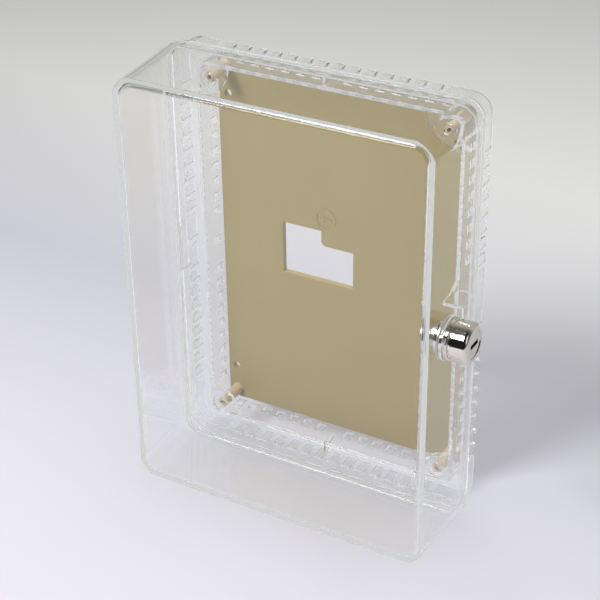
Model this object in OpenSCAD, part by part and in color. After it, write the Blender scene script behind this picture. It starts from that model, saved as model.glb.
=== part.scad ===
// Clear key-locked guard cabinet: hinged cover, louvred ring base and wall plate.
// X is across the front, Y points into the wall, Z is up. The origin is on the wall
// plane, at the middle of the four wall screws.

/* [Cover] */
// Width of the cover at its open rim
cover_w = 163; // [140:1:190]
// Height of the cover at its open rim
cover_h = 222; // [205:1:260]
// Depth of the cover from its front face to its rim
cover_d = 47; // [46:1:70]
// Thickness of the cover walls
wall_t = 3; // [2.6:0.1:3.2]
// Mould draft of each side wall over the cover depth
draft = 2.6; // [2:0.1:3]
// Corner radius at the rim
rim_r = 12; // [11:0.5:14]
// Radius that rounds the front face into the side walls
front_r = 3; // [2:0.5:3]

/* [Ring base] */
// Distance from the cover rim to the wall
ring_d = 25; // [24:0.5:32]
// Spacing of the vent slots
vent_pitch = 8.1; // [7:0.1:12]
// Width of one louvre slot in the skirt
vent_w = 3.8; // [2:0.1:4.5]
// Width of the flat ledge between skirt and neck
ledge_w = 10.8; // [9.5:0.1:11.5]

/* [Wall plate] */
// Thickness of the wall plate
plate_t = 3; // [2:0.1:3]
// Diameter of the wall screw holes in the plate
plate_hole_d = 4.2; // [3:0.1:5]
// Vertical spacing of the wall screw holes
plate_hole_dz = 152; // [110:1:155]
// Width of the wiring window
window_w = 39; // [20:1:60]
// Height of the wide lower part of the wiring window
window_h = 20; // [12:1:24]

/* [Lock] */
// Diameter of the lock head
head_d = 19.6; // [18:0.1:21]
// How far the lock head stands out from the cover
head_out = 11.5; // [10:0.5:15]
// Height of the lock axis above the middle of the cover
lock_z = 8; // [-10:0.5:12]
// Number of wafers in the plug
wafer_count = 5; // [3:1:5]

/* [Output] */
// Sub-part to draw

/* [Hidden] */

$fn = 96;
eps = 0.01;
over = 1;

rim_y = -ring_d;
front_y = rim_y - cover_d;

// Cover outline: the straight core between the corner centres never changes.
core_w = cover_w - 2 * rim_r;
core_h = cover_h - 2 * rim_r;
slope = draft / (cover_d - front_r);
face_r = rim_r - draft;

// Ring base, as insets from the rim outline and depths behind the rim.
shoulder_in = 0.5;
shoulder_t = 1.8;
skirt_in = 3.2;
skirt_t = 1.7;
collar_in = 3.7;
collar_h = 3.5;
ledge_d = 5.8;
ledge_t = 2;
skirt_d = 15.5;
comb_root = 0.4;
neck_t = 1.8;
neck_in = skirt_in + skirt_t + ledge_w;
neck_vent_w = 4.4;
neck_vent_d0 = 15;
neck_vent_d1 = 20.5;
lock_gap = 13;
hinge_gap = 1;
gusset_gap = 4;
lip_r = 3;

// Wall plate.
plate_gap = 0.5;
plate_in = neck_in + plate_gap;
plate_w = cover_w - 2 * plate_in;
plate_h = cover_h - 2 * plate_in;
post_x = plate_w / 2 - 4.8;
post_z = plate_h / 2 - 4.8;
post_r = 3.1;
post_tip_r = 2.7;
spigot_r = 2.1;
spigot_h = 1.5;
pilot_r = 1.2;
plate_hole_x = plate_w / 2 - 4.5;
window_x0 = -31;
window_z0 = -11;
window_step_w = 21.5;
window_step_h = 8;
mark_x = -7;
mark_z = 24;
mark_r = 5.6;
mark_h = 0.4;

// Hinge on the left edge: a bead on the cover turns in a groove of the ring.
hinge_x = -cover_w / 2 + 0.3;
hinge_y = rim_y + 2;
bead_r = 1.3;
bead_len = 19;
groove_r = bead_r + 0.06;
socket_len = 25;

// Lock: everything is placed along its axis, which is parallel to X.
lock_y = front_y + 21.5;
wall_x = cover_w / 2 - draft + slope * (lock_y - front_y - front_r);
pad_r = 10.4;
pad_out_x = wall_x + 0.7;
pad_in_x = wall_x - wall_t - 0.7;
shank_r = 7.9;
shank_hole_r = 8.1;
plug_r = 5.95;
bore_r = 6;
plug_head_r = 6.7;
trim_r = 9.9;
trim_t = 2.4;
head_x0 = pad_out_x + trim_t;
head_x1 = pad_out_x + head_out;
shank_x0 = pad_in_x - 2.6;
clip_t = 0.8;
clip_r = 9.6;
groove_z = 6.9;
stop_t = 0.8;
stop_lug = 0.8;
stop_half = 15;
stop_play = 2;
cam_rest = 45;
cam_t = 1.5;
cam_len = 22.5;
cam_w = 8;
cam_flange = 2.7;
cam_flange_t = 2;
cam_x1 = shank_x0 - stop_t;
cam_x0 = cam_x1 - cam_t;
spring_washer_t = 0.6;
cam_head_t = 1.3;
square_w = 6;
screw_r = 2;
screw_deep = 6;
wafer_t = 0.9;
wafer_w = 4.4;
wafer_h = 8.6;
wafer_pitch = 2.3;
wafer_play = 0.05;
channel_r = 7.1;
plug_x1 = head_x1 - 0.3;
slot_w = 2.2;
slot_len = 7.6;
slot_deep = 14;

// Keeper on the ring: the flange of the cam turns in behind its bar.
keeper_t = 1.8;
keeper_gap = 0.4;
keeper_x0 = cover_w / 2 - neck_in + 0.5;
keeper_x1 = cam_x1 + cam_flange + keeper_gap;
keeper_y = lock_y + cam_len - cam_flange_t - 1.2;
keeper_z0 = lock_z - 5.5;
keeper_z1 = lock_z + cam_w / 2 + 0.3;

// Lower face of wafer number i, counted from the key end.
function wafer_x(i) = plug_x1 - 3.4 - i * wafer_pitch - wafer_t;

clear_col = [0.9, 0.95, 0.96, 0.35];
tan_col = [0.72, 0.65, 0.48];
chrome_col = [0.86, 0.85, 0.83];
steel_col = [0.7, 0.7, 0.69];
brass_col = [0.8, 0.66, 0.35];

// Rounded rectangle centred on the origin.
module round_rect(w, h, r) {
    square([w - 2 * r, h], center = true);
    square([w, h - 2 * r], center = true);
    for (sx = [-1, 1], sz = [-1, 1]) {
        translate([sx * (w / 2 - r), sz * (h / 2 - r)]) circle(r);
    }
}

// Extrudes a front-view outline from depth y0 to y1.
module depth(y0, y1) {
    translate([0, y1, 0]) rotate([90, 0, 0]) linear_extrude(y1 - y0) children();
}

// Outline of the rim moved inwards by a given inset.
module inset_rect(inset) {
    round_rect(cover_w - 2 * inset, cover_h - 2 * inset, max(rim_r - inset, lip_r));
}

// Band of the rim outline between two insets, over a range of depths behind the rim.
module band(in0, in1, d0, d1) {
    difference() {
        depth(rim_y + d0, rim_y + d1) inset_rect(in0);
        depth(rim_y + d0 - over, rim_y + d1 + over) inset_rect(in1);
    }
}

// Places children with their Z axis along the lock axis, starting at a given X.
module on_lock(x) {
    translate([x, lock_y, lock_z]) rotate([0, 90, 0]) children();
}

// Disc or ring along the lock axis.
module lock_tube(x0, x1, r_out, r_in) {
    on_lock(x0) difference() {
        cylinder(h = x1 - x0, r = r_out);
        translate([0, 0, -over]) cylinder(h = x1 - x0 + 2 * over, r = r_in);
    }
}

// Section through the front and one side wall: X is the distance out from the core.
module cover_section() {
    inner_r = face_r - wall_t + slope * (wall_t - front_r);
    difference() {
        union() {
            translate([0, front_y]) square([face_r - front_r, front_r]);
            translate([face_r - front_r, front_y + front_r]) circle(front_r);
            polygon([
                [0, front_y + front_r], [face_r, front_y + front_r],
                [rim_r, rim_y], [0, rim_y]
            ]);
        }
        polygon([
            [-over, front_y + wall_t], [inner_r, front_y + wall_t],
            [rim_r - wall_t + slope * over, rim_y + over], [-over, rim_y + over]
        ]);
    }
}

module cover_shell() {
    color(clear_col) difference() {
        union() {
            depth(front_y, front_y + wall_t) square([core_w, core_h], center = true);
            for (k = [0:3]) {
                out = (k % 2 == 0 ? core_w : core_h) / 2;
                side = k % 2 == 0 ? core_h : core_w;
                rotate([0, 90 * k, 0]) translate([out, 0, -side / 2]) {
                    linear_extrude(side) cover_section();
                    rotate([-90, 0, 0]) rotate_extrude(angle = 90) cover_section();
                }
            }
        }
        on_lock(wall_x - 2 * wall_t) cylinder(h = 4 * wall_t, r = shank_hole_r);
    }
}

module cover_lock_boss() {
    color(clear_col) difference() {
        on_lock(pad_in_x) cylinder(h = pad_out_x - pad_in_x, r = pad_r);
        cover_wall_slab();
        on_lock(pad_in_x - over) cylinder(h = 4 * wall_t, r = shank_hole_r);
    }
}

// The part of the right side wall that lies under the lock boss.
module cover_wall_slab() {
    translate([0, 0, lock_z - pad_r - over]) linear_extrude(2 * (pad_r + over))
        polygon([
            for (s = [[0, 0], [-wall_t, 0], [-wall_t, 1], [0, 1]])
                [
                    cover_w / 2 - draft + s[0] + slope * s[1] * (cover_d - front_r),
                    front_y + front_r + s[1] * (cover_d - front_r)
                ]
        ]);
}

module cover_hinge_bead() {
    color(clear_col) {
        translate([hinge_x, hinge_y, -bead_len / 2]) cylinder(h = bead_len, r = bead_r);
        translate([-cover_w / 2, rim_y, -bead_len / 2])
            cube([1.3, hinge_y - rim_y, bead_len]);
    }
}

module ring_frame() {
    color(clear_col) difference() {
        union() {
            band(collar_in, skirt_in + skirt_t, -collar_h, 0);
            band(skirt_in, skirt_in + skirt_t, 0, ledge_d + ledge_t);
            band(shoulder_in, skirt_in, 0, shoulder_t);
            band(skirt_in + skirt_t, neck_in, ledge_d, ledge_d + ledge_t);
        }
        hinge_pocket();
    }
}

// Room in the ring frame for the hinge socket block.
module hinge_pocket() {
    translate([-cover_w / 2 - over, rim_y - over, -socket_len / 2])
        cube([skirt_in + over, ledge_d + ledge_t + over, socket_len]);
}

module ring_hinge_socket() {
    color(clear_col) difference() {
        translate([-cover_w / 2 + shoulder_in, rim_y + 0.3, -socket_len / 2])
            cube([skirt_in - shoulder_in, ledge_d + ledge_t - 0.3, socket_len]);
        translate([hinge_x, hinge_y, -bead_len / 2 - 0.3])
            cylinder(h = bead_len + 0.6, r = groove_r);
        translate([-cover_w / 2 - over, rim_y - over, -bead_len / 2 - 0.3])
            cube([over + 2.1, over + 1.6, bead_len + 0.6]);
    }
}

// Vent positions along one side: the corners stay plain, and so does a stretch round each gap.
module vents_along(length, gap_at, gap_half) {
    n = floor((length / 2 - 2 * rim_r) / vent_pitch);
    for (i = [-n:n]) {
        if (min([for (g = gap_at) abs(i * vent_pitch - g)]) >= gap_half) {
            translate([i * vent_pitch, 0, 0]) children();
        }
    }
}

// Cuts vent slots of width w through the four sides of a band whose middle is at a given
// inset, over a range of depths. A gap can be left in the middle of the short sides.
module vent_rows(wall_in, w, d0, d1, short_gap) {
    cut = 3 * neck_t;
    for (s = [-1, 1]) {
        translate([0, rim_y + d0, s * (cover_h / 2 - wall_in) - cut / 2])
            vents_along(cover_w, [0], short_gap)
            translate([-w / 2, 0, 0]) cube([w, d1 - d0, cut]);
        translate([s * (cover_w / 2 - wall_in) + cut / 2, rim_y + d0, 0])
            rotate([0, -90, 0])
            vents_along(
                cover_h,
                s > 0 ? [lock_z] : [-vent_pitch, vent_pitch],
                s > 0 ? lock_gap : hinge_gap
            )
            translate([-w / 2, 0, 0]) cube([w, d1 - d0, cut]);
    }
}

module ring_louvres() {
    root_d = ledge_d + ledge_t;
    color(clear_col) difference() {
        band(skirt_in, skirt_in + skirt_t, root_d, skirt_d);
        vent_rows(skirt_in + skirt_t / 2, vent_w, root_d + comb_root, skirt_d + over, 0);
    }
}

module ring_neck() {
    color(clear_col) difference() {
        band(neck_in - neck_t, neck_in, ledge_d + ledge_t, ring_d);
        vent_rows(neck_in - neck_t / 2, neck_vent_w, neck_vent_d0, neck_vent_d1, gusset_gap);
    }
}

module ring_corner_webs() {
    web = 15;
    lip_w = cover_w / 2 - neck_in;
    lip_h = cover_h / 2 - neck_in;
    color(clear_col) for (sx = [-1, 1], sz = [-1, 1]) difference() {
        union() {
            depth(rim_y + ledge_d, rim_y + ledge_d + ledge_t) intersection() {
                inset_rect(neck_in);
                translate([sx * lip_w, sz * lip_h]) circle(web);
            }
            translate([sx * post_x, rim_y + ledge_d, sz * post_z])
                rotate([90, 0, 0]) cylinder(h = 1, r = 4.4);
        }
        translate([sx * post_x, rim_y, sz * post_z])
            rotate([-90, 0, 0]) cylinder(h = ledge_d + 2 * ledge_t, r = spigot_r);
    }
}

module ring_gussets() {
    leg_out = 6;
    leg_back = 10;
    gusset_t = 1.6;
    y0 = rim_y + ledge_d + ledge_t;
    z0 = cover_h / 2 - neck_in + neck_t;
    color(clear_col) for (s = [-1, 1]) {
        translate([-gusset_t / 2, 0, 0]) rotate([90, 0, 90]) linear_extrude(gusset_t)
            polygon([[y0, s * z0], [y0 + leg_back, s * z0], [y0, s * (z0 + leg_out)]]);
    }
}

module ring_keeper() {
    y1 = rim_y + ledge_d;
    y0 = keeper_y - keeper_t;
    color(clear_col) {
        translate([keeper_x0, y0, keeper_z1])
            cube([keeper_x1 - keeper_x0, y1 - y0, keeper_t]);
        translate([cam_x1 + keeper_gap, y0, keeper_z0])
            cube([keeper_x1 - cam_x1 - keeper_gap, keeper_t, keeper_z1 - keeper_z0]);
        translate([keeper_x0, 0, 0]) rotate([90, 0, 90]) linear_extrude(keeper_t)
            polygon([
                [y1, keeper_z1 + keeper_t], [y1, keeper_z1 + keeper_t + 5],
                [y1 - 8, keeper_z1 + keeper_t]
            ]);
    }
}

module wall_plate() {
    step_z = window_z0 + window_h;
    color(tan_col) difference() {
        depth(-plate_t, 0) round_rect(plate_w, plate_h, 2.5);
        depth(-plate_t - over, over) {
            translate([window_x0, window_z0]) square([window_w, window_h]);
            translate([window_x0, window_z0])
                square([window_step_w, window_h + window_step_h]);
            translate([window_x0 + window_step_w, step_z]) difference() {
                translate([-eps, -eps]) square(2.5 + eps);
                translate([2.5, 2.5]) circle(2.5);
            }
            for (sx = [-1, 1], sz = [-1, 1]) {
                translate([sx * plate_hole_x, sz * plate_hole_dz / 2])
                    circle(plate_hole_d / 2);
            }
        }
        for (sx = [-1, 1], sz = [-1, 1]) {
            translate([sx * post_x, -plate_t - over, sz * post_z])
                rotate([-90, 0, 0]) cylinder(h = plate_t + 2 * over, r = pilot_r);
        }
    }
}

module plate_posts() {
    y0 = rim_y + ledge_d + ledge_t;
    len = -plate_t - y0;
    color(tan_col) for (sx = [-1, 1], sz = [-1, 1]) {
        translate([sx * post_x, -plate_t, sz * post_z]) rotate([90, 0, 0]) difference() {
            union() {
                cylinder(h = len, r1 = post_r, r2 = post_tip_r);
                cylinder(h = len + spigot_h, r = spigot_r - 0.05);
            }
            translate([0, 0, -over]) cylinder(h = len + spigot_h + 2 * over, r = pilot_r);
        }
    }
}

module plate_mark() {
    color(tan_col) depth(-plate_t - mark_h, -plate_t) translate([mark_x, mark_z]) {
        difference() {
            circle(mark_r);
            circle(mark_r - 0.8);
        }
        polygon([
            [-3.4, 0], [-0.8, 2], [-0.8, 0.5], [3.2, 0.5],
            [3.2, -0.5], [-0.8, -0.5], [-0.8, -2]
        ]);
    }
}

module lock_trim_ring() {
    round_r = 0.8;
    flat_w = trim_r - shank_hole_r - round_r;
    color(chrome_col) on_lock(pad_out_x) rotate_extrude() {
        translate([shank_hole_r, 0]) square([flat_w, trim_t]);
        translate([shank_hole_r, round_r])
            square([trim_r - shank_hole_r, trim_t - 2 * round_r]);
        for (y = [round_r, trim_t - round_r]) {
            translate([trim_r - round_r, y]) circle(round_r);
        }
    }
}

module lock_shell() {
    edge_r = 2.2;
    color(chrome_col) difference() {
        union() {
            on_lock(head_x0) rotate_extrude() {
                square([head_d / 2 - 0.8, 1.2]);
                translate([0, 1]) square([head_d / 2, head_x1 - head_x0 - edge_r - 1]);
                square([head_d / 2 - edge_r, head_x1 - head_x0]);
                translate([head_d / 2 - edge_r, head_x1 - head_x0 - edge_r]) circle(edge_r);
            }
            difference() {
                on_lock(shank_x0) cylinder(h = head_x0 - shank_x0 + eps, r = shank_r);
                for (s = [-1, 1]) {
                    translate([pad_in_x - clip_t / 2, lock_y, lock_z + s * (shank_r + groove_z)])
                        cube([clip_t, 4 * shank_r, 2 * shank_r], center = true);
                }
            }
        }
        on_lock(shank_x0 - over) cylinder(h = head_x1 - shank_x0 + 2 * over, r = bore_r);
        on_lock(head_x1 - 2) cylinder(h = 2 + over, r = plug_head_r + 0.05);
        on_lock(shank_x0 - over) rotate([0, 0, -stop_half - stop_play])
            rotate_extrude(angle = 90 + 2 * (stop_half + stop_play))
            translate([bore_r - 0.5, 0]) square([4, over + stop_lug + 0.3]);
        translate([wafer_x(wafer_count), lock_y - channel_r, lock_z - wafer_w / 2 - 0.2])
            cube([wafer_x(-1) - wafer_x(wafer_count), 2 * channel_r, wafer_w + 0.4]);
    }
}

// Horseshoe clip, pushed on from the back into the two grooves of the shank.
module lock_clip() {
    color(steel_col) on_lock(pad_in_x - clip_t) difference() {
        cylinder(h = clip_t, r = clip_r);
        intersection() {
            translate([0, 0, -over]) cylinder(h = clip_t + 2 * over, r = shank_r + 0.05);
            translate([0, 0, clip_t / 2])
                cube([2 * (groove_z + 0.05), 4 * shank_r, 4 * clip_t], center = true);
        }
        translate([-groove_z - 0.05, 0, -over])
            cube([2 * (groove_z + 0.05), clip_r + over, clip_t + 2 * over]);
    }
}

// Square that carries the stop washer and the cam, turned with them.
module cam_square(h) {
    rotate([0, 0, cam_rest]) translate([-square_w / 2, -square_w / 2, 0])
        cube([square_w, square_w, h]);
}

module lock_plug() {
    head_t = 1.5;
    color(chrome_col) difference() {
        union() {
            on_lock(shank_x0) cylinder(h = plug_x1 - shank_x0, r = plug_r);
            on_lock(plug_x1 - head_t) cylinder(h = head_t, r = plug_head_r);
            on_lock(cam_x0) cam_square(shank_x0 - cam_x0 + eps);
        }
        translate([plug_x1 - slot_deep, lock_y - slot_len / 2, lock_z - slot_w / 2])
            cube([slot_deep + over, slot_len, slot_w]);
        for (i = [0:wafer_count - 1]) {
            translate([wafer_x(i) - wafer_play, lock_y - 2 * plug_r, lock_z - wafer_w / 2])
                cube([wafer_t + 2 * wafer_play, 4 * plug_r, wafer_w]);
        }
        on_lock(cam_x0 - over) cylinder(h = screw_deep + over, r = screw_r);
    }
}

module lock_wafers() {
    color(brass_col) for (i = [0:wafer_count - 1]) {
        translate([wafer_x(i), lock_y - wafer_h / 2, lock_z - wafer_w / 2 + wafer_play])
            difference() {
                cube([wafer_t, wafer_h, wafer_w - 2 * wafer_play]);
                translate([-over, (wafer_h - slot_len) / 2 + 0.6, (wafer_w - slot_w) / 2 - wafer_play])
                    cube([wafer_t + 2 * over, slot_len - 1.2, slot_w]);
            }
    }
}

module lock_springs() {
    spring_len = 1.3;
    color(steel_col) for (i = [0:wafer_count - 1]) {
        translate([wafer_x(i) + wafer_t / 2, lock_y + wafer_h / 2, lock_z])
            rotate([-90, 0, 0]) difference() {
                cylinder(h = spring_len, r = 0.42);
                translate([0, 0, -over]) cylinder(h = spring_len + 2 * over, r = 0.2);
            }
    }
}

module lock_stop_washer() {
    color(steel_col) on_lock(cam_x1) difference() {
        union() {
            cylinder(h = stop_t, r = 7.4);
            rotate([0, 0, cam_rest - stop_half]) rotate_extrude(angle = 2 * stop_half)
                translate([bore_r + 0.15, 0]) square([1.2, stop_t + stop_lug]);
        }
        translate([0, 0, -over]) cam_square(stop_t + 2 * over);
    }
}

module lock_cam() {
    color(steel_col) on_lock(cam_x0) difference() {
        union() {
            cylinder(h = cam_t, r = 6.6);
            rotate([0, 0, cam_rest]) {
                translate([0, -cam_w / 2, 0]) cube([cam_len, cam_w, cam_t]);
                translate([cam_len - cam_flange_t, -cam_w / 2, 0])
                    cube([cam_flange_t, cam_w, cam_t + cam_flange]);
            }
        }
        translate([0, 0, -over]) cam_square(cam_t + 2 * over);
    }
}

module cam_lock_washer() {
    color(steel_col) lock_tube(cam_x0 - spring_washer_t, cam_x0, 4.4, screw_r + 0.1);
}

module cam_screw() {
    x0 = cam_x0 - spring_washer_t;
    color(steel_col) difference() {
        union() {
            on_lock(x0 - cam_head_t) rotate_extrude() intersection() {
                square([4, cam_head_t]);
                translate([0, 4.4]) circle(5.2);
            }
            on_lock(x0 - eps) cylinder(h = spring_washer_t + screw_deep, r = screw_r);
        }
        for (a = [0, 90]) {
            on_lock(x0 - cam_head_t - over) rotate([0, 0, a])
                translate([-2.2, -0.45, 0]) cube([4.4, 0.9, over + 1.2]);
        }
    }
}

cover_shell();
cover_hinge_bead();
cover_lock_boss();
ring_frame();
ring_louvres();
ring_neck();
ring_corner_webs();
ring_gussets();
ring_keeper();
ring_hinge_socket();
wall_plate();
plate_posts();
plate_mark();
lock_trim_ring();
lock_shell();
lock_clip();
lock_plug();
lock_wafers();
lock_springs();
lock_stop_washer();
lock_cam();
cam_lock_washer();
cam_screw();
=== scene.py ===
"""Looks for the clear, key-locked guard cabinet.

The shapes below are drawn in millimetres. Lights, camera and the depths of bumps are in metres.
"""
import math

import bpy
import bmesh
from mathutils import Matrix, Vector


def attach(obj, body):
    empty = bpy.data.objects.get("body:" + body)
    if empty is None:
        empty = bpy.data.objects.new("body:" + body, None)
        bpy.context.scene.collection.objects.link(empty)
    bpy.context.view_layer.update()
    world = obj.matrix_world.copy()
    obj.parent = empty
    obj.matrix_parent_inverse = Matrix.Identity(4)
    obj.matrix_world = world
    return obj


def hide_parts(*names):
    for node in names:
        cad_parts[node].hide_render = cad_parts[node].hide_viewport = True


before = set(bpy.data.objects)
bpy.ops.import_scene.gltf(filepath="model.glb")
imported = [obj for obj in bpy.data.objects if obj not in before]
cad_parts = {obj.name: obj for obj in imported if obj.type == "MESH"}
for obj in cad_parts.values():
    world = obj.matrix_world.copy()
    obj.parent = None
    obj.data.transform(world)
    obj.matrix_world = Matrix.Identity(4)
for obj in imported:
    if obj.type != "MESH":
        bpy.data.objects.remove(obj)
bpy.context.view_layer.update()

MM = 0.001

# Sizes of the moulded shapes, the same as in the CAD model.
COVER_W = 163.0
COVER_H = 222.0
WALL = 3.0
RIM_Y = -25.0
FRONT_Y = -72.0
DRAFT = 2.6
FRONT_R = 3.0
RIM_R = 12.0
LIP_R = 3.0
FACE_R = RIM_R - DRAFT
SLOPE = DRAFT / (RIM_Y - FRONT_Y - FRONT_R)
LOCK_Y = -50.5
LOCK_Z = 8.0
LOCK_HOLE_R = 8.1
COLLAR_IN = 3.7
COLLAR_H = 3.5
SHOULDER_IN = 0.5
SHOULDER_T = 1.8
SKIRT_IN = 3.2
RING_IN = 4.9
NECK_IN = 15.7
NECK_T = 1.8
LEDGE_Y0 = -19.2
LEDGE_Y1 = -17.2
COMB_ROOT_Y = -16.8
SKIRT_END_Y = -9.5
SLOT_W = 3.8
SLOT_PITCH = 8.1
NECK_SLOT_W = 4.4
NECK_SLOT_Y = (-10.0, -4.5)
LOCK_GAP = 13
HINGE_GAP = 1
GUSSET_GAP = 4
POST_X = 60.5
POST_Z = 90.0
POST_HOLE_R = 2.1
BOSS_R = 4.4
WEB_R = 15.0
PAD_R = 10.4
PAD_OUT = 0.7
BEAD_R = 1.3
BEAD_HALF = 9.5
SOCKET_HALF = 12.5
HINGE_X = -COVER_W / 2 + 0.3
HINGE_Y = RIM_Y + 2
CAM_X1 = 72.89
CAM_FLANGE = 2.7
KEEPER_GAP = 0.4
KEEPER_T = 1.8
KEEPER_FRONT_Y = -33.0

# How the meshes are made.
CORNER_STEPS = 14
EPS = 0.01
MERGE_DIST = 0.004
SHARP_ANGLE = 35


# ---------------------------------------------------------------- mesh helpers

def new_object(name, verts, faces):
    mesh = bpy.data.meshes.new(name)
    mesh.from_pydata([Vector(v) * MM for v in verts], [], faces)
    mesh.update()
    obj = bpy.data.objects.new(name, mesh)
    bpy.context.scene.collection.objects.link(obj)
    return obj


def outline(inset):
    """Rounded rectangle of the rim outline moved inwards, as (x, z) points."""
    radius = max(RIM_R - inset, LIP_R)
    cx = COVER_W / 2 - inset - radius
    cz = COVER_H / 2 - inset - radius
    points = []
    for k, (sx, sz) in enumerate(((1, 1), (-1, 1), (-1, -1), (1, -1))):
        for i in range(CORNER_STEPS + 1):
            a = math.radians(90 * k + 90 * i / CORNER_STEPS)
            points.append((sx * cx + radius * math.cos(a), sz * cz + radius * math.sin(a)))
    return points


def sweep(name, profile, closed):
    """Sweeps (inset, y) points round the outline. An open profile is capped at both ends."""
    verts = []
    for inset, y in profile:
        verts.extend((x, y, z) for x, z in outline(inset))
    n = 4 * (CORNER_STEPS + 1)
    faces = []
    rows = len(profile)
    for r in range(rows if closed else rows - 1):
        a = r * n
        b = ((r + 1) % rows) * n
        for i in range(n):
            j = (i + 1) % n
            faces.append((a + i, a + j, b + j, b + i))
    if not closed:
        faces.append(tuple(range(n - 1, -1, -1)))
        faces.append(tuple(range((rows - 1) * n, rows * n)))
    obj = new_object(name, verts, faces)
    fix_normals(obj)
    return obj


def fix_normals(obj):
    bm = bmesh.new()
    bm.from_mesh(obj.data)
    bmesh.ops.recalc_face_normals(bm, faces=bm.faces)
    bm.to_mesh(obj.data)
    bm.free()


def boxes(name, spans):
    """One mesh of separate boxes, each given as (x0, x1, y0, y1, z0, z1)."""
    verts = []
    faces = []
    for x0, x1, y0, y1, z0, z1 in spans:
        base = len(verts)
        verts.extend((x, y, z) for x in (x0, x1) for y in (y0, y1) for z in (z0, z1))
        quads = ((0, 1, 3, 2), (4, 6, 7, 5), (0, 4, 5, 1), (2, 3, 7, 6), (0, 2, 6, 4), (1, 5, 7, 3))
        faces.extend(tuple(base + q for q in quad) for quad in quads)
    obj = new_object(name, verts, faces)
    fix_normals(obj)
    return obj


def prism(name, points, axis, lo, hi):
    """Solid of a polygon drawn in the two other axes and drawn out along axis 0, 1 or 2."""
    verts = []
    for level in (lo, hi):
        for u, v in points:
            p = [u, v]
            p.insert(axis, level)
            verts.append(tuple(p))
    n = len(points)
    faces = [tuple(range(n - 1, -1, -1)), tuple(range(n, 2 * n))]
    faces.extend((i, (i + 1) % n, n + (i + 1) % n, n + i) for i in range(n))
    obj = new_object(name, verts, faces)
    fix_normals(obj)
    return obj


def turned(name, profile, axis, centre, steps=64):
    """Solid of revolution of (along, radius) points about a line along axis 0, 1 or 2."""
    verts = []
    for along, radius in profile:
        for i in range(steps):
            a = 2 * math.pi * i / steps
            p = [radius * math.cos(a), radius * math.sin(a)]
            p.insert(axis, along)
            verts.append(tuple(p[k] + centre[k] for k in range(3)))
    faces = []
    for r in range(len(profile) - 1):
        for i in range(steps):
            j = (i + 1) % steps
            faces.append((r * steps + i, r * steps + j, (r + 1) * steps + j, (r + 1) * steps + i))
    faces.append(tuple(range(steps)))
    faces.append(tuple(range((len(profile) - 1) * steps, len(profile) * steps)))
    obj = new_object(name, verts, faces)
    fix_normals(obj)
    return obj


def combine(target, tools, operation):
    """Applies the boolean of every tool with target to its mesh, and removes the tools."""
    for tool in tools:
        mod = target.modifiers.new("cut", "BOOLEAN")
        mod.operation = operation
        mod.solver = "EXACT"
        mod.object = tool
        apply_modifiers(target)
        bpy.data.objects.remove(tool)


def apply_modifiers(obj):
    graph = bpy.context.evaluated_depsgraph_get()
    graph.update()
    mesh = bpy.data.meshes.new_from_object(obj.evaluated_get(graph))
    obj.modifiers.clear()
    old = obj.data
    obj.data = mesh
    mesh.name = obj.name
    bpy.data.meshes.remove(old)


def clean(obj):
    """Merges the tiny edges that the booleans leave."""
    bm = bmesh.new()
    bm.from_mesh(obj.data)
    bmesh.ops.remove_doubles(bm, verts=bm.verts, dist=MERGE_DIST * MM)
    bmesh.ops.dissolve_degenerate(bm, edges=bm.edges, dist=MERGE_DIST * MM)
    bmesh.ops.recalc_face_normals(bm, faces=bm.faces)
    bm.to_mesh(obj.data)
    bm.free()


def soften(obj, width, segments=2):
    """Small rounded edges, with the flat faces kept flat in shading."""
    for poly in obj.data.polygons:
        poly.use_smooth = True
    bevel = obj.modifiers.new("edges", "BEVEL")
    bevel.width = width * MM
    bevel.segments = segments
    bevel.limit_method = "ANGLE"
    bevel.angle_limit = math.radians(SHARP_ANGLE)
    bevel.use_clamp_overlap = True
    bevel.harden_normals = False
    bevel.miter_outer = "MITER_ARC"
    normal = obj.modifiers.new("normals", "WEIGHTED_NORMAL")
    normal.keep_sharp = False
    normal.weight = 100


# ---------------------------------------------------------------- moulded pieces

def arc(cx, cy, radius, start, end, steps):
    """Points of an arc, with its angles in degrees."""
    return [
        (
            cx + radius * math.cos(math.radians(start + (end - start) * i / steps)),
            cy + radius * math.sin(math.radians(start + (end - start) * i / steps)),
        )
        for i in range(steps + 1)
    ]


def cover_profile():
    """Section of the cover as (inset, y), from the outer front face round the rim to the inside."""
    edge = 0.35
    fillet = 1.1
    out = arc(FACE_R - FRONT_R, FRONT_Y + FRONT_R, FRONT_R, -90, 0, 8)
    rim_out = RIM_R - SLOPE * edge
    rim_in = RIM_R - WALL
    out += arc(rim_out - edge, RIM_Y - edge, edge, 0, 90, 3)
    out += arc(rim_in + edge, RIM_Y - edge, edge, 90, 180, 3)
    inner_top = FACE_R - WALL + SLOPE * (WALL - FRONT_R)
    out += arc(inner_top - fillet, FRONT_Y + WALL + fillet, fillet, 0, -90, 5)
    return [(RIM_R - r, y) for r, y in out]


def wall_x(y):
    """Outer face of the right wall of the cover at a depth."""
    return COVER_W / 2 - DRAFT + SLOPE * (y - FRONT_Y - FRONT_R)


def pad_profile(x_in, x_out):
    """Round pad along X with softened rims, as (x, radius)."""
    edge = ((0.0, 0.3), (0.12, 0.1), (0.3, 0.0))
    front = [(x_in + along, PAD_R - inward) for along, inward in edge]
    back = [(x_out - along, PAD_R - inward) for along, inward in reversed(edge)]
    return front + back


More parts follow.
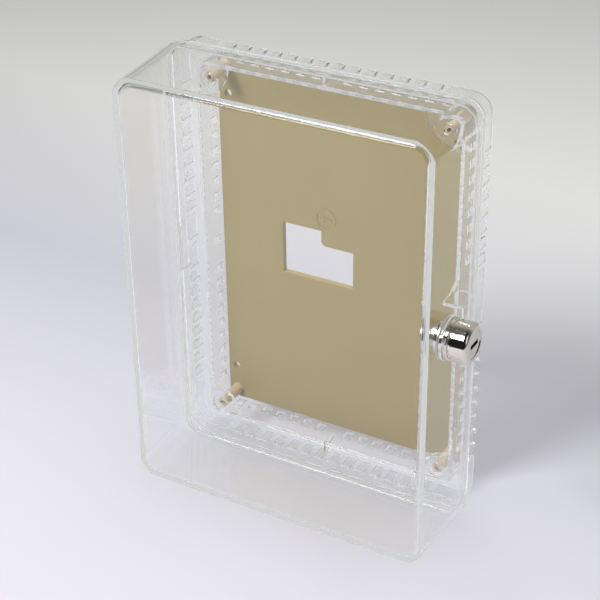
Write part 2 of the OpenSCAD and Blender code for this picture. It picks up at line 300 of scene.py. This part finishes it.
def build_cover():
    cover = sweep("cover_clear", cover_profile(), closed=False)
    centre = (0, LOCK_Y, LOCK_Z)
    x = wall_x(LOCK_Y)
    pads = turned("pads", pad_profile(x - WALL - PAD_OUT, x + PAD_OUT), 0, centre)
    end = 0.25
    bead_profile = [
        (-BEAD_HALF, BEAD_R - 0.4), (-BEAD_HALF + end, BEAD_R),
        (BEAD_HALF - end, BEAD_R), (BEAD_HALF, BEAD_R - 0.4),
    ]
    bead = turned("bead", bead_profile, 2, (HINGE_X, HINGE_Y, 0), steps=24)
    left = -COVER_W / 2
    web = boxes("web", [(left, left + BEAD_R, RIM_Y - 0.3, HINGE_Y, -BEAD_HALF, BEAD_HALF)])
    combine(cover, [pads, bead, web], "UNION")
    reach = 12
    hole = turned("hole", [(x - reach, LOCK_HOLE_R), (x + reach, LOCK_HOLE_R)], 0, centre)
    combine(cover, [hole], "DIFFERENCE")
    clean(cover)
    return cover


def slot_positions(half_length, gaps, gap_half):
    """Places of the slots along one side, without those nearer than gap_half to a gap."""
    n = int((half_length - 2 * RIM_R) / SLOT_PITCH)
    places = [i * SLOT_PITCH for i in range(-n, n + 1)]
    return [p for p in places if all(abs(p - g) >= gap_half for g in gaps)]


def slot_boxes(inset, width, y0, y1, short_gap):
    """Vent cutters in the four sides of the ring."""
    cut = 3.0
    spans = []
    for s in (-1, 1):
        z = s * (COVER_H / 2 - inset)
        for x in slot_positions(COVER_W / 2, [0], short_gap):
            spans.append((x - width / 2, x + width / 2, y0, y1, z - cut, z + cut))
        x = s * (COVER_W / 2 - inset)
        gaps = [LOCK_Z] if s > 0 else [-SLOT_PITCH, SLOT_PITCH]
        for z in slot_positions(COVER_H / 2, gaps, LOCK_GAP if s > 0 else HINGE_GAP):
            spans.append((x - cut, x + cut, y0, y1, z - width / 2, z + width / 2))
    return spans


def ring_profile():
    """Closed section of the whole ring base as (inset, y)."""
    edge = 0.25
    front = RIM_Y - COLLAR_H
    shoulder_y = RIM_Y + SHOULDER_T
    neck_out = NECK_IN - NECK_T
    return [
        (COLLAR_IN + edge, front), (RING_IN - edge, front), (RING_IN, front + edge),
        (RING_IN, LEDGE_Y0 - 0.5), (RING_IN + 0.15, LEDGE_Y0 - 0.15), (RING_IN + 0.5, LEDGE_Y0),
        (NECK_IN - 0.8, LEDGE_Y0), (NECK_IN - 0.4, LEDGE_Y0 + 0.1),
        (NECK_IN - 0.1, LEDGE_Y0 + 0.4), (NECK_IN, LEDGE_Y0 + 0.8),
        (NECK_IN, -edge), (NECK_IN - edge, 0),
        (neck_out + edge, 0), (neck_out, -edge),
        (neck_out, LEDGE_Y1 + 0.3), (neck_out - 0.3, LEDGE_Y1),
        (RING_IN + 0.3, LEDGE_Y1), (RING_IN, LEDGE_Y1 + 0.3),
        (RING_IN, SKIRT_END_Y - edge), (RING_IN - edge, SKIRT_END_Y),
        (SKIRT_IN + edge, SKIRT_END_Y), (SKIRT_IN, SKIRT_END_Y - edge),
        (SKIRT_IN, shoulder_y), (SHOULDER_IN + edge, shoulder_y), (SHOULDER_IN, shoulder_y - edge),
        (SHOULDER_IN, RIM_Y + edge), (SHOULDER_IN + edge, RIM_Y), (COLLAR_IN, RIM_Y),
        (COLLAR_IN, front + edge),
    ]


def build_webs():
    """Corner webs of the ledge, each with the raised ring round its post hole."""
    tools = []
    steps = 18
    into = 0.6
    boss = [(-1.0, BOSS_R - 0.2), (-0.8, BOSS_R), (0.5, BOSS_R)]
    for sx in (-1, 1):
        for sz in (-1, 1):
            cx = sx * (COVER_W / 2 - NECK_IN)
            cz = sz * (COVER_H / 2 - NECK_IN)
            points = [(cx + sx * into, cz + sz * into), (cx + sx * into, cz - sz * WEB_R)]
            for i in range(steps + 1):
                a = math.radians(90 * i / steps)
                points.append((cx - sx * WEB_R * math.sin(a), cz - sz * WEB_R * math.cos(a)))
            points.append((cx - sx * WEB_R, cz + sz * into))
            tools.append(prism("web", points, 1, LEDGE_Y0 + 0.02, LEDGE_Y1 - 0.02))
            tools.append(turned("boss", boss, 1, (sx * POST_X, LEDGE_Y0, sz * POST_Z), steps=40))
    return tools


def build_keeper():
    """Cheek plate, the bar that the cam's flange goes behind, and a rib."""
    keeper_x0 = COVER_W / 2 - NECK_IN + 0.5
    keeper_x1 = CAM_X1 + CAM_FLANGE + KEEPER_GAP
    bar_x0 = CAM_X1 + KEEPER_GAP
    z0 = LOCK_Z - 5.5
    z1 = LOCK_Z + 4.3
    y0 = KEEPER_FRONT_Y
    y1 = LEDGE_Y0 + 0.3
    cheek = boxes("cheek", [(keeper_x0, keeper_x1, y0, y1, z1, z1 + KEEPER_T)])
    bar = boxes("bar", [(bar_x0, keeper_x1 - EPS, y0 + EPS, y0 + KEEPER_T, z0, z1 + 0.5)])
    rib_points = [(y1, z1 + 1.5), (y1, z1 + 6.8), (LEDGE_Y0 - 8, z1 + 1.5)]
    rib = prism("rib", rib_points, 0, keeper_x0 + EPS, keeper_x0 + KEEPER_T)
    return [cheek, bar, rib]


def build_gussets():
    """Triangles behind the ledge at the middle of the top and the bottom."""
    tools = []
    y = LEDGE_Y1 - 0.3
    along = 10.3
    outward = 6.3
    half = 0.8
    for s in (-1, 1):
        z = s * (COVER_H / 2 - NECK_IN + 1.5)
        points = [(y, z), (y + along, z), (y, z + s * outward)]
        tools.append(prism("gusset", points, 0, -half, half))
    return tools


def build_ring():
    ring = sweep("ring_clear", ring_profile(), closed=True)
    skirt_middle = (SKIRT_IN + RING_IN) / 2
    cuts = slot_boxes(skirt_middle, SLOT_W, COMB_ROOT_Y, SKIRT_END_Y + 2, 0)
    cuts += slot_boxes(NECK_IN - NECK_T / 2, NECK_SLOT_W, *NECK_SLOT_Y, GUSSET_GAP)
    combine(ring, [boxes("slots", cuts)], "DIFFERENCE")
    left = -COVER_W / 2
    block = boxes("block", [
        (left + SHOULDER_IN + EPS, left + 3.6, RIM_Y + 0.3, LEDGE_Y1 - 0.05, -SOCKET_HALF, SOCKET_HALF),
    ])
    combine(ring, build_webs() + build_keeper() + build_gussets() + [block], "UNION")
    groove_half = BEAD_HALF + 0.3
    groove_r = BEAD_R + 0.06
    groove_profile = [(-groove_half, groove_r), (groove_half, groove_r)]
    groove = turned("groove", groove_profile, 2, (HINGE_X, HINGE_Y, 0), 32)
    room = boxes("room", [(left - 1, left + 2.1, RIM_Y - 1, RIM_Y + 1.6, -groove_half, groove_half)])
    hole_profile = [(-4, POST_HOLE_R), (6, POST_HOLE_R)]
    holes = [
        turned("hole", hole_profile, 1, (sx * POST_X, LEDGE_Y0, sz * POST_Z), 32)
        for sx in (-1, 1)
        for sz in (-1, 1)
    ]
    combine(ring, [groove, room] + holes, "DIFFERENCE")
    clean(ring)
    return ring


# ---------------------------------------------------------------- materials

class Nodes:
    """Short names for making one node material."""

    # Places of the colour sockets of a Mix node, whose names are shared by its other types.
    MIX_A = 6
    MIX_B = 7
    MIX_RESULT = 2

    def __init__(self, name):
        self.mat = bpy.data.materials.new(name)
        self.mat.use_nodes = True
        self.tree = self.mat.node_tree
        self.bsdf = self.tree.nodes["Principled BSDF"]
        self.out = self.tree.nodes["Material Output"]

    def add(self, kind):
        return self.tree.nodes.new(kind)

    def link(self, a, b):
        self.tree.links.new(a, b)

    def coords(self, scale=(1, 1, 1), rotation=(0, 0, 0)):
        """Object coordinates, scaled per axis. The objects sit at the origin, in metres."""
        tex = self.add("ShaderNodeTexCoord")
        mapping = self.add("ShaderNodeMapping")
        mapping.inputs["Scale"].default_value = scale
        mapping.inputs["Rotation"].default_value = rotation
        self.link(tex.outputs["Object"], mapping.inputs["Vector"])
        return mapping.outputs["Vector"]

    def noise(self, vector, scale, detail=3.0, rough=0.55, distort=0.0):
        node = self.add("ShaderNodeTexNoise")
        node.inputs["Scale"].default_value = scale
        node.inputs["Detail"].default_value = detail
        node.inputs["Roughness"].default_value = rough
        node.inputs["Distortion"].default_value = distort
        self.link(vector, node.inputs["Vector"])
        return node.outputs["Fac"]

    def span(self, value, lo, hi, out_lo, out_hi):
        node = self.add("ShaderNodeMapRange")
        node.clamp = True
        for key, number in zip(("From Min", "From Max", "To Min", "To Max"), (lo, hi, out_lo, out_hi)):
            node.inputs[key].default_value = number
        self.link(value, node.inputs["Value"])
        return node.outputs["Result"]

    def math(self, op, a, b):
        node = self.add("ShaderNodeMath")
        node.operation = op
        for socket, value in zip(node.inputs, (a, b)):
            if isinstance(value, (int, float)):
                socket.default_value = value
            else:
                self.link(value, socket)
        return node.outputs["Value"]

    def mix_colour(self, factor, a, b):
        node = self.add("ShaderNodeMix")
        node.data_type = "RGBA"
        self.link(factor, node.inputs["Factor"])
        node.inputs[self.MIX_A].default_value = (*a, 1)
        node.inputs[self.MIX_B].default_value = (*b, 1)
        return node.outputs[self.MIX_RESULT]

    def mix_shader(self, factor, a, b):
        """Shader a where the factor is 0 and shader b where it is 1."""
        node = self.add("ShaderNodeMixShader")
        for socket, source in zip(node.inputs, (factor, a, b)):
            self.link(source, socket)
        return node.outputs["Shader"]

    def scratches(self, scale, width, rotation, stretch):
        """Thin straight marks, 1 on a mark and 0 elsewhere, broken up along their length."""
        vec = self.coords(scale=stretch, rotation=rotation)
        vor = self.add("ShaderNodeTexVoronoi")
        vor.feature = "DISTANCE_TO_EDGE"
        vor.inputs["Scale"].default_value = scale
        self.link(vec, vor.inputs["Vector"])
        line = self.span(vor.outputs["Distance"], 0.0, width, 1.0, 0.0)
        gate = self.span(self.noise(self.coords(), 60.0, 2.0), 0.56, 0.64, 0.0, 1.0)
        return self.math("MULTIPLY", line, gate)

    def bump(self, height, strength, distance_m):
        node = self.add("ShaderNodeBump")
        node.inputs["Strength"].default_value = strength
        node.inputs["Distance"].default_value = distance_m
        self.link(height, node.inputs["Height"])
        self.link(node.outputs["Normal"], self.bsdf.inputs["Normal"])


def clear_plastic(name, tint, rough_lo, rough_hi):
    """Polished clear moulding. Rays from lamps pass straight through it.

    Rays that have been bent or mirrored too often inside its walls end on a pale glow. This is painted
    light, standing in for the light that they would have carried.
    """
    most_steps = 8.5
    most_mirrored = 2.5
    n = Nodes(name)
    b = n.bsdf
    b.inputs["Base Color"].default_value = (*tint, 1)
    b.inputs["Transmission Weight"].default_value = 1.0
    b.inputs["IOR"].default_value = 1.52
    wear = n.noise(n.coords(), 22.0, 4.0)
    marks = n.scratches(70.0, 0.010, (0.4, 0.9, 0.3), (1.0, 1.0, 0.18))
    base = n.span(wear, 0.35, 0.75, rough_lo, rough_hi)
    rough = n.math("ADD", base, n.math("MULTIPLY", marks, 0.12))
    n.link(rough, b.inputs["Roughness"])
    n.bump(n.math("MULTIPLY", marks, -1.0), 0.04, 0.00002)
    through = n.add("ShaderNodeBsdfTransparent")
    through.inputs["Color"].default_value = (0.985, 0.988, 0.985, 1)
    path = n.add("ShaderNodeLightPath")
    shader = b.outputs["BSDF"]
    for ray in ("Is Shadow Ray", "Is Diffuse Ray"):
        shader = n.mix_shader(path.outputs[ray], shader, through.outputs["BSDF"])
    # Painted light: stopped rays show this pale glow in place of what lies beyond them.
    painted_light_glow = n.add("ShaderNodeEmission")
    painted_light_glow.inputs["Color"].default_value = (0.63, 0.645, 0.635, 1)
    painted_light_glow.inputs["Strength"].default_value = 1.0
    many = n.math("GREATER_THAN", path.outputs["Ray Depth"], most_steps)
    mirrored = n.math("GREATER_THAN", path.outputs["Glossy Depth"], most_mirrored)
    late = n.math("MAXIMUM", many, mirrored)
    shader = n.mix_shader(late, shader, painted_light_glow.outputs["Emission"])
    n.link(shader, n.out.inputs["Surface"])
    return n.mat


def tan_plastic():
    """Matt moulded plate: fine grain, soft flow mottling, a few rub marks."""
    n = Nodes("tan_plastic")
    mottle = n.noise(n.coords(), 14.0, 4.0, 0.6, 0.6)
    fine = n.noise(n.coords(), 900.0, 2.0)
    rub = n.scratches(55.0, 0.012, (0.2, 0.5, 0.8), (1.0, 1.0, 0.25))
    tone = n.math("ADD", n.math("MULTIPLY", mottle, 0.8), n.math("MULTIPLY", rub, 0.25))
    colour = n.mix_colour(tone, (0.42, 0.335, 0.13), (0.48, 0.388, 0.16))
    n.link(colour, n.bsdf.inputs["Base Color"])
    rough = n.span(mottle, 0.3, 0.7, 0.42, 0.56)
    n.link(rough, n.bsdf.inputs["Roughness"])
    n.bsdf.inputs["IOR"].default_value = 1.5
    n.bump(fine, 0.05, 0.0002)
    return n.mat


def tan_post():
    """Softer look of the bosses, their colour painted paler for the light that their thin walls let in.
    """
    n = Nodes("tan_post")
    mottle = n.noise(n.coords(), 60.0, 3.0)
    # Painted light: the paler colour stands for light coming in through the thin walls.
    colour = n.mix_colour(mottle, (0.60, 0.46, 0.29), (0.68, 0.53, 0.35))
    n.link(colour, n.bsdf.inputs["Base Color"])
    n.link(n.span(mottle, 0.3, 0.7, 0.35, 0.5), n.bsdf.inputs["Roughness"])
    n.bsdf.inputs["Subsurface Weight"].default_value = 0.2
    n.bsdf.inputs["Subsurface Radius"].default_value = (0.004, 0.002, 0.001)
    n.bump(n.noise(n.coords(), 700.0, 2.0), 0.2, 0.0002)
    return n.mat


def plated(name, colour_a, colour_b, rough_lo, rough_hi, grain):
    """Plated metal with fine turning marks and a few handling scratches."""
    n = Nodes(name)
    n.bsdf.inputs["Metallic"].default_value = 1.0
    cloud = n.noise(n.coords(), 120.0, 4.0)
    marks = n.scratches(160.0, 0.012, (0, 0, 0), (1.0, 0.3, 1.0))
    colour = n.mix_colour(n.math("ADD", cloud, n.math("MULTIPLY", marks, 0.3)), colour_a, colour_b)
    n.link(colour, n.bsdf.inputs["Base Color"])
    base = n.span(cloud, 0.3, 0.75, rough_lo, rough_hi)
    n.link(n.math("ADD", base, n.math("MULTIPLY", marks, 0.2)), n.bsdf.inputs["Roughness"])
    lines = n.noise(n.coords(scale=(1.0, 0.08, 0.08)), grain, 2.0)
    n.bump(n.math("ADD", lines, n.math("MULTIPLY", marks, -0.6)), 0.08, 0.0001)
    return n.mat


def paint(obj, mat):
    obj.data.materials.clear()
    obj.data.materials.append(mat)


def paint_cad(node, mat):
    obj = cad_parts[node]
    if not obj.material_slots:
        obj.data.materials.append(mat)
    for s in obj.material_slots:
        s.link = "OBJECT"
        s.material = mat


# ---------------------------------------------------------------- assembly

clear_cover = clear_plastic("clear_cover", (0.995, 0.997, 0.995), 0.003, 0.012)
clear_ring = clear_plastic("clear_ring", (0.988, 0.992, 0.988), 0.006, 0.02)
tan = tan_plastic()
post = tan_post()
chrome = plated("chrome", (0.74, 0.69, 0.62), (0.84, 0.80, 0.74), 0.04, 0.10, 500.0)
zinc = plated("zinc", (0.52, 0.51, 0.48), (0.66, 0.65, 0.62), 0.25, 0.42, 900.0)
brass = plated("brass", (0.66, 0.50, 0.22), (0.78, 0.62, 0.32), 0.2, 0.35, 700.0)

cover = build_cover()
soften(cover, 0.12, 1)
paint(cover, clear_cover)
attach(cover, "cover")
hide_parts("cover_shell", "cover_hinge_bead", "cover_lock_boss")

ring = build_ring()
soften(ring, 0.07, 1)
paint(ring, clear_ring)
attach(ring, "base")
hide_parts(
    "ring_frame", "ring_louvres", "ring_neck", "ring_corner_webs",
    "ring_gussets", "ring_keeper", "ring_hinge_socket",
)

for node in ("wall_plate", "plate_mark"):
    paint_cad(node, tan)
paint_cad("plate_posts", post)
for node in ("lock_trim_ring", "lock_shell", "lock_plug"):
    paint_cad(node, chrome)
for node in (
    "lock_clip", "lock_springs", "lock_stop_washer", "lock_cam", "cam_lock_washer", "cam_screw",
):
    paint_cad(node, zinc)
paint_cad("lock_wafers", brass)

EDGE_WIDTHS = {
    "wall_plate": 0.35, "plate_mark": 0.08, "plate_posts": 0.15, "lock_cam": 0.2,
    "lock_plug": 0.12, "lock_clip": 0.1, "lock_shell": 0.08, "lock_trim_ring": 0.08,
}
for node, width in EDGE_WIDTHS.items():
    soften(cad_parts[node], width)


# ---------------------------------------------------------------- stage

FLOOR_GAP = 0.4
FLOOR_HALF = 4000.0
FLOOR_FRONT_Y = -600.0
FLOOR_BACK_Y = 6000.0

def build_floor():
    """Large pale floor, its colour painted with the fall of light: darker in the middle, paler towards
    the back. It lies along the drafted bottom wall, on which the object stands.
    """
    verts = []
    for y, side in ((FLOOR_FRONT_Y, -1), (FLOOR_BACK_Y, 1)):
        z = -COVER_H / 2 - FLOOR_GAP + (RIM_Y - y) * SLOPE
        verts.extend((x * FLOOR_HALF, y, z) for x in (side, -side))
    floor = new_object("floor", verts, [(0, 1, 2, 3)])
    n = Nodes("floor_painted_light")
    split = n.add("ShaderNodeSeparateXYZ")
    n.link(n.coords(), split.inputs["Vector"])
    # Painted light: the colour ramp along the depth makes the floor darker in the middle and paler
    # towards the back.
    place = n.span(split.outputs["Y"], -0.1, 0.5, 0.0, 1.0)
    grain = n.math("MULTIPLY", n.noise(n.coords(), 3.0, 2.0), 0.02)
    ramp = n.add("ShaderNodeValToRGB")
    n.link(n.math("ADD", place, grain), ramp.inputs["Fac"])
    stops = ramp.color_ramp.elements
    stops[0].color = (0.735, 0.722, 0.805, 1)
    stops[1].position = 0.8
    stops[1].color = (0.92, 0.92, 0.905, 1)
    middle = stops.new(0.38)
    middle.color = (0.645, 0.645, 0.71, 1)
    n.link(ramp.outputs["Color"], n.bsdf.inputs["Base Color"])
    n.bsdf.inputs["Roughness"].default_value = 0.6
    n.bsdf.inputs["Specular IOR Level"].default_value = 0.2
    paint(floor, n.mat)


def area_light(name, place, target, size, size_y, power):
    """White rectangular light that shines on target. Lengths are in metres."""
    data = bpy.data.lights.new(name, "AREA")
    data.shape = "RECTANGLE"
    data.size = size
    data.size_y = size_y
    data.energy = power
    obj = bpy.data.objects.new(name, data)
    obj.location = place
    obj.rotation_euler = (Vector(target) - Vector(place)).to_track_quat("-Z", "Y").to_euler()
    bpy.context.scene.collection.objects.link(obj)
    return obj


def build_world():
    """Studio surroundings: light behind and above the object, dark on the side of the camera."""
    lift = 0.35
    world = bpy.data.worlds.new("studio")
    bpy.context.scene.world = world
    world.use_nodes = True
    tree = world.node_tree
    back = tree.nodes["Background"]
    coord = tree.nodes.new("ShaderNodeTexCoord")
    split = tree.nodes.new("ShaderNodeSeparateXYZ")
    tree.links.new(coord.outputs["Generated"], split.inputs["Vector"])
    depth = tree.nodes.new("ShaderNodeMath")
    depth.operation = "MULTIPLY_ADD"
    depth.inputs[1].default_value = lift
    tree.links.new(split.outputs["Z"], depth.inputs[0])
    tree.links.new(split.outputs["Y"], depth.inputs[2])
    ramp = tree.nodes.new("ShaderNodeValToRGB")
    tree.links.new(depth.outputs["Value"], ramp.inputs["Fac"])
    tree.links.new(ramp.outputs["Color"], back.inputs["Color"])
    stops = ramp.color_ramp.elements
    stops[0].position = 0.1
    stops[0].color = (0.03, 0.03, 0.032, 1)
    stops[1].position = 0.7
    stops[1].color = (0.80, 0.80, 0.79, 1)
    middle = stops.new(0.45)
    middle.color = (0.22, 0.225, 0.215, 1)
    back.inputs["Strength"].default_value = 0.6


def build_camera():
    """Camera fitted to the object's own edges: its place and aim in metres, lens and roll."""
    data = bpy.data.cameras.new("camera")
    data.lens = 92.28
    data.sensor_width = 36.0
    data.clip_end = 50
    cam = bpy.data.objects.new("camera", data)
    place = Vector((0.3085, -0.5803, 0.3666))
    target = Vector((0.0034, -0.0484, 0.0048))
    look = (target - place).normalized()
    right = look.cross(Vector((0, 0, 1))).normalized()
    up = right.cross(look)
    roll = math.radians(-0.81)
    right2 = right * math.cos(roll) + up * math.sin(roll)
    up2 = right2.cross(look)
    basis = Matrix((right2, up2, -look)).transposed().to_4x4()
    cam.matrix_world = Matrix.Translation(place) @ basis
    bpy.context.scene.collection.objects.link(cam)
    bpy.context.scene.camera = cam


build_floor()
build_world()
build_camera()
area_light("key", (-0.34, -0.66, 0.74), (0.02, -0.12, -0.05), 0.36, 0.36, 7.5)
top = area_light("top", (0.15, 0.15, 1.3), (0, 0, 0), 1.3, 1.0, 10.5)
top.visible_glossy = False
top.visible_transmission = False
area_light("fill", (1.1, -0.5, 0.6), (0, -0.03, 0), 0.6, 0.9, 1.5)

bpy.context.scene.view_settings.view_transform = "Standard"
